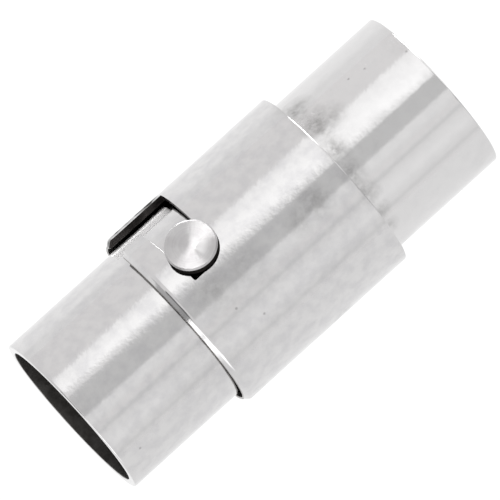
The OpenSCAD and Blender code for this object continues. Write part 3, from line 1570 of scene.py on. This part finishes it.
@dataclass(frozen=True)
class Studio:
    """White light table under a white dome, with softboxes and grey cards, and the camera.

    The camera stands at the photograph's angle and distance, which came from its outlines.

    Attributes:
        azimuth, elevation: The camera's turn from -Y and its height, in degrees.
        distance, target: Its distance from what it looks at, and that place.
        lens, sensor: Its focal length and the width of its sensor.
        clip: The nearest and the farthest that it sees, in metres.
        dome_colour, dome_glow: Colour and brightness of the dome.
        table_half: Half of the table's width, in metres.
        table_glow, table_paint: Brightness and colour of the table.
        pools: The table's brighter and darker areas.
        sheets: The sheets round the clasp.
    """

    azimuth: float = -42.548
    elevation: float = 80.660
    distance: float = 439.24
    target: tuple[float, float, float] = (-0.015, 0.146, 4.0)
    lens: float = 845.93
    sensor: float = 36.0
    clip: tuple[float, float] = (0.05, 5.0)
    dome_colour: str = "FFFEFE"
    dome_glow: float = 1.0
    table_half: float = 2.5
    table_glow: float = 0.97
    table_paint: str = "404040"
    pools: tuple[Pool, ...] = (
        Pool(-62, -36, 30, 50, 1.8),
        Pool(-135, -60, 70, 105, 1.8),
        Pool(0, 10, 7, 23, 1.135),
        Pool(0, -9, 4, 12, 1.03),
    )
    sheets: tuple[Sheet, ...] = (
        Card("softbox", 1.5, 1.0, 0.3, 0.86, 0.85, 27, 6.25, 60, 8, 0, 0.855, -0.134),
        Card("camera_card", 0.77, 1.0, 0.12, bearing=-3.1, across=32.2, length=50),
        Card("tent_fold", 1.06, 1.0, 0.5, bearing=-26, across=14),
        Card("tent_seam_high", 0.87, 1.0, 0.5, 1.15, bearing=-43.5, across=9),
        Card("tent_panel", 1.09, 1.0, 0.5, 0.94, bearing=-63, across=26),
        Card("tent_seam_low", 0.9, 1.0, 0.5, 1.11, 1.0, -82, across=10),
        Card("window", 9.8, 1.0, 0.5, bearing=65, lean=36.4, across=50, length=24, roll=36),
        Card("end_card", 0.55, 0.55, distance=1.2, bearing=-50, lean=46, across=90, length=50),
        Card("back_light", 1.6, 1.6, distance=1.3, bearing=20, lean=72, across=130, length=28),
        Card("camera_side", 0.22, 0.22, distance=1.1, bearing=12, lean=-65, across=30, length=32),
        Wing("bright_wing", 1.9, 1.9, start=-60, stop=-5.5),
        Wing("grey_wing", 0.6, 0.42, 0.6, start=-5.5, stop=31),
    )

    def build(self) -> None:
        """Makes the dome, the table, the sheets and the camera."""
        self.dome()
        self.table()
        for sheet in self.sheets:
            sheet.build()
        self.camera()

    def dome(self) -> None:
        """Lights everything evenly in white."""
        world = bpy.data.worlds.new("White dome")
        world.use_nodes = True
        world.node_tree.nodes.clear()
        nodes = Nodes(world.node_tree)
        sky = nodes.add("ShaderNodeBackground", (linear(self.dome_colour), self.dome_glow))
        nodes.add("ShaderNodeOutputWorld", {"Surface": sky})
        bpy.context.scene.world = world

    def table(self) -> None:
        """Makes the light table, a pale sheet lit from below with brighter and darker pools."""
        coat = Coat("Pale acrylic sheet lit from below")
        strength: NodeSocket | float = self.table_glow
        for pool in self.pools:
            gap = coat.add(
                "ShaderNodeVectorMath", (coat.place, Vector((pool.x, pool.y, 0)) * MM), "Value",
                operation="DISTANCE",
            )
            part = coat.add(
                "ShaderNodeMapRange", (gap, pool.inner * MM, pool.outer * MM, pool.glow, 1.0),
                interpolation_type="SMOOTHSTEP",
            )
            strength = coat.add("ShaderNodeMath", (strength, part), operation="MULTIPLY")
        glow = coat.add("ShaderNodeEmission", {"Strength": strength})
        sheet = coat.add("ShaderNodeBsdfDiffuse", {"Color": linear(self.table_paint)})
        mesh = bpy.data.meshes.new("table")
        half = self.table_half
        corners = [(-half, -half, 0), (half, -half, 0), (half, half, 0), (-half, half, 0)]
        mesh.from_pydata(corners, [], [(0, 1, 2, 3)])
        mesh.materials.append(coat.finish(coat.add("ShaderNodeAddShader", (glow, sheet))))
        table = bpy.data.objects.new("table", mesh)
        bpy.context.scene.collection.objects.link(table)

    def camera(self) -> None:
        """Stands the camera at the photograph's angle."""
        data = bpy.data.cameras.new("camera")
        data.lens = self.lens
        data.sensor_width = self.sensor
        data.clip_start, data.clip_end = self.clip
        azimuth, elevation = math.radians(self.azimuth), math.radians(self.elevation)
        level = math.cos(elevation)
        back = Vector((math.sin(azimuth) * level, -math.cos(azimuth) * level, math.sin(elevation)))
        camera = bpy.data.objects.new("camera", data)
        camera.location = (Vector(self.target) + back * self.distance) * MM
        camera.rotation_mode = "QUATERNION"
        camera.rotation_quaternion = (-back).to_track_quat("-Z", "Y")
        bpy.context.scene.collection.objects.link(camera)
        bpy.context.scene.camera = camera
        bpy.context.scene.view_settings.view_transform = "Standard"


def sleeve_stains_and_painted_shade(sizes: ClaspSizes) -> tuple[StainAndPaintedShade, ...]:
    """Darker patches on the sleeve: painted shade along the cup's side of its shoulder and beside the
    slot, and darker patches on its top.

    Args:
        sizes: The clasp's sizes.

    Returns:
        The patches.
    """
    # Place, turn, reach and strength of each patch. The cup's places count from the shoulder.
    # Painted shade on the cup along the sleeve's shoulder
    cup = (
        (0.35, 47, 0.95, 0.8), (0.5, 27, 1.0, 1.2), (1.1, 24, 0.8, 0.6), (0.3, 6, 0.8, 0.9),
        (0.15, -12, 0.8, 0.9), (0.15, -27, 0.7, 0.75), (0.1, -42, 0.6, 0.55), (0.1, -56, 0.5, 0.5),
    )
    # Painted shade on the sleeve beside the far side of the slot's long leg and at its mouth, and darker
    # patches along its top
    body = (
        (0.6, 77, 0.5, 1.4), (1.2, 77, 0.5, 1.4), (1.8, 77, 0.5, 1.6), (1.6, -8, 1.3, 0.5),
        (3.0, -10, 1.2, 0.4), (6.5, -9, 0.9, 0.78), (5.6, -11, 0.7, 0.6), (2.15, 75, 0.6, 2.2),
        (0.05, 74, 0.4, 1.6),
    )
    return tuple(
        StainAndPaintedShade(start + along, turn, radius, reach, strength)
        for start, radius, spots in ((sizes.shoulder, sizes.plug_r, cup), (0.0, sizes.sleeve_r, body))
        for along, turn, reach, strength in spots
    )


def main() -> None:
    """Builds the clasp and its studio."""
    logging.basicConfig(level=logging.INFO, format="%(name)s: %(message)s")
    sizes = ClaspSizes()
    lathe = TurningTree()
    tooled = {
        # The slot's walls and the bores are rough, and coloured far darker than bare steel as painted
        # shade
        Zone.CUT: RoughSteel(
            "Steel slot wall, milled and unpolished", "4C4948", "2C2A29", (0.35, 0.5), 0.07, 0.004
        ),
        Zone.BORED: RoughSteel(
            "Steel bore, drilled, darkened as painted shade", "706E6C", "484644", (0.3, 0.45), 0.3, 0.003
        ),
        Zone.DEBURRED: RoughSteel(
            "Steel mouth of the bore, deburred by hand", "B2B0AE", "8C8A88", (0.2, 0.35), 0.12, 0.002
        ),
    }
    rough = {zone: steel.build() for zone, steel in tooled.items()}
    sleeve_steel = PolishedSteel(
        "Stainless steel sleeve, tumble polished", sizes, stains_and_painted_shade=sleeve_stains_and_painted_shade(sizes),
        bright_from=sizes.shoulder,
    )
    # The plug's matt patch in the slot, with a painted highlight between turns 65 and 71
    track = Rubbed((-0.1, 2.56), (60, 86), (65, 71))
    plug_steel = PolishedSteel("Stainless steel plug, tumble polished", sizes, rubbed_and_painted_highlight=track)
    Studio().build()
    pieces = [
        Sleeve(sizes, lathe, {Zone.POLISHED: sleeve_steel.build(), **rough}).build(),
        Plug(sizes, lathe, {Zone.POLISHED: plug_steel.build(), **rough}).build(),
        LockingPin(sizes, lathe).build(),
    ]
    Magnets().dress()
    for piece in pieces:
        log.info("%s: %d faces", piece.name, len(piece.data.polygons))


if __name__ == "__main__":
    main()
